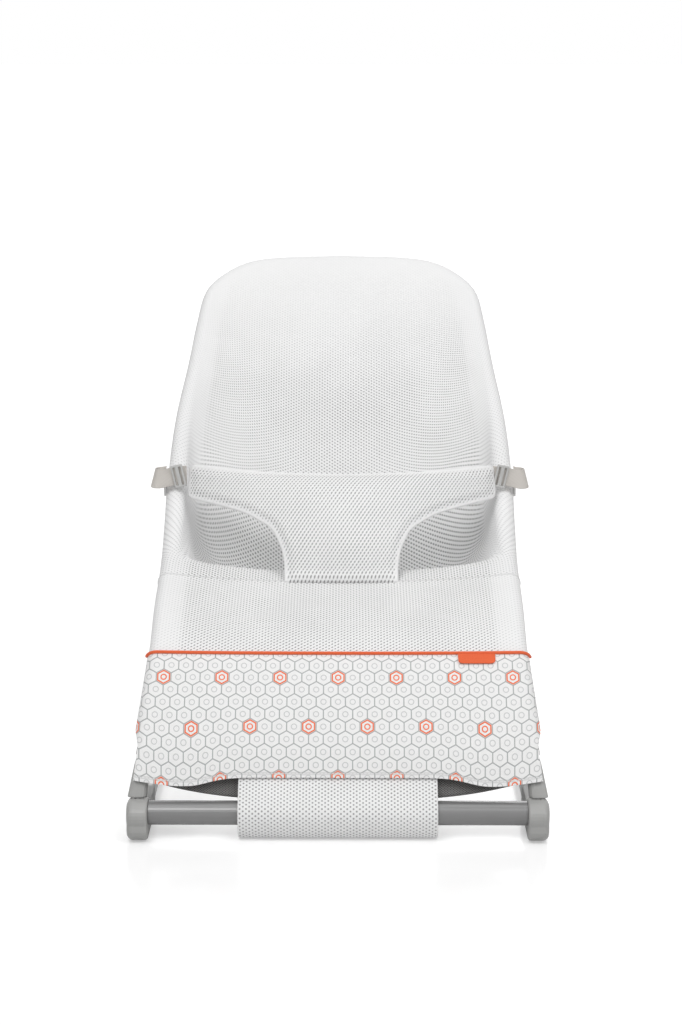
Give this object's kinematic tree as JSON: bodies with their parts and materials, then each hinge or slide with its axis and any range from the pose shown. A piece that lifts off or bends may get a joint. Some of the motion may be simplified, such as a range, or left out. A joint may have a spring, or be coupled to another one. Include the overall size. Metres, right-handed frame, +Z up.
{
  "type": "baby bouncer",
  "caption": "Reclined baby seat: mesh sling on a bent tube frame, hinged on a low floor frame, with a padded crotch and waist belt.",
  "frame": {"origin": "centre of the footprint on the floor, in the bouncer's rest position", "axes": "+Z up, -Y towards the front (foot end), +X across the seat to the viewer's right from the front"},
  "size_m": [0.4294, 0.6737, 0.5042],
  "materials": {
    "foot_plastic": "moulded, fine texture",
    "tube_paint": "grey powder coat",
    "steel": "plain steel",
    "rubber": "matt",
    "white_mesh": "knitted spacer mesh with small holes",
    "print_cloth": "printed mesh, grey honeycomb with orange cells",
    "orange_trim": "woven trim",
    "dark_mesh": "dark grey net",
    "webbing": "woven strap",
    "buckle_plastic": "moulded"
  },
  "bodies": {
    "base": {"base_tube": "tube_paint", "front_cross_tube": "tube_paint", "front_foot_left": "foot_plastic", "front_foot_right": "foot_plastic", "front_pad_left": "rubber", "front_pad_right": "rubber", "rear_pad_left": "rubber", "rear_pad_right": "rubber", "hinge_pin_left": "steel", "hinge_pin_right": "steel", "button_spring_left": "steel", "button_spring_right": "steel"},
    "lock": {"index_disc_left": "steel", "index_disc_right": "steel", "torsion_bush_left": "rubber", "torsion_bush_right": "rubber"},
    "seat": {"seat_arm_left": "foot_plastic", "seat_arm_right": "foot_plastic", "seat_tube_left": "tube_paint", "seat_tube_right": "tube_paint", "head_hoop": "tube_paint", "spreader_bar": "tube_paint", "seat_cover": "white_mesh", "leg_panel": "white_mesh", "print_panel": "print_cloth", "piping": "orange_trim", "lining_net": "dark_mesh", "wrap_flap": "white_mesh", "cover_tag": "orange_trim", "strap_anchor_left": "buckle_plastic", "strap_anchor_right": "buckle_plastic"},
    "belt": {"belt_pad": "white_mesh", "strap_loop_left": "webbing", "strap_loop_right": "webbing", "slider_left": "buckle_plastic", "slider_right": "buckle_plastic"},
    "button_left": {"lock_button_left": "foot_plastic"},
    "button_right": {"lock_button_right": "foot_plastic"}
  },
  "joints": [
    {"name": "seat_fold", "type": "hinge", "parent": "base", "child": "lock", "pos_m": [0, -0.3169, 0.0265], "axis": [1, 0, 0], "range_deg": [-18, 0]},
    {"name": "seat_bounce", "type": "hinge", "parent": "lock", "child": "seat", "pos_m": [0, -0.3169, 0.0265], "axis": [1, 0, 0], "range_deg": [-5, 3], "stiffness_Nm_per_rad": 400, "springref_deg": 0.86},
    {"name": "belt_open", "type": "hinge", "parent": "seat", "child": "belt", "pos_m": [0, -0.1087, 0.2074], "axis": [1, 0, 0], "range_deg": [0, 92]},
    {"name": "button_press_left", "type": "slide", "parent": "base", "child": "button_left", "axis": [1, 0, 0], "range_m": [0, 0.0015], "stiffness_N_per_m": 500, "springref_m": -0.002},
    {"name": "button_press_right", "type": "slide", "parent": "base", "child": "button_right", "axis": [-1, 0, 0], "range_m": [0, 0.0015], "stiffness_N_per_m": 500, "springref_m": -0.002}
  ]
}
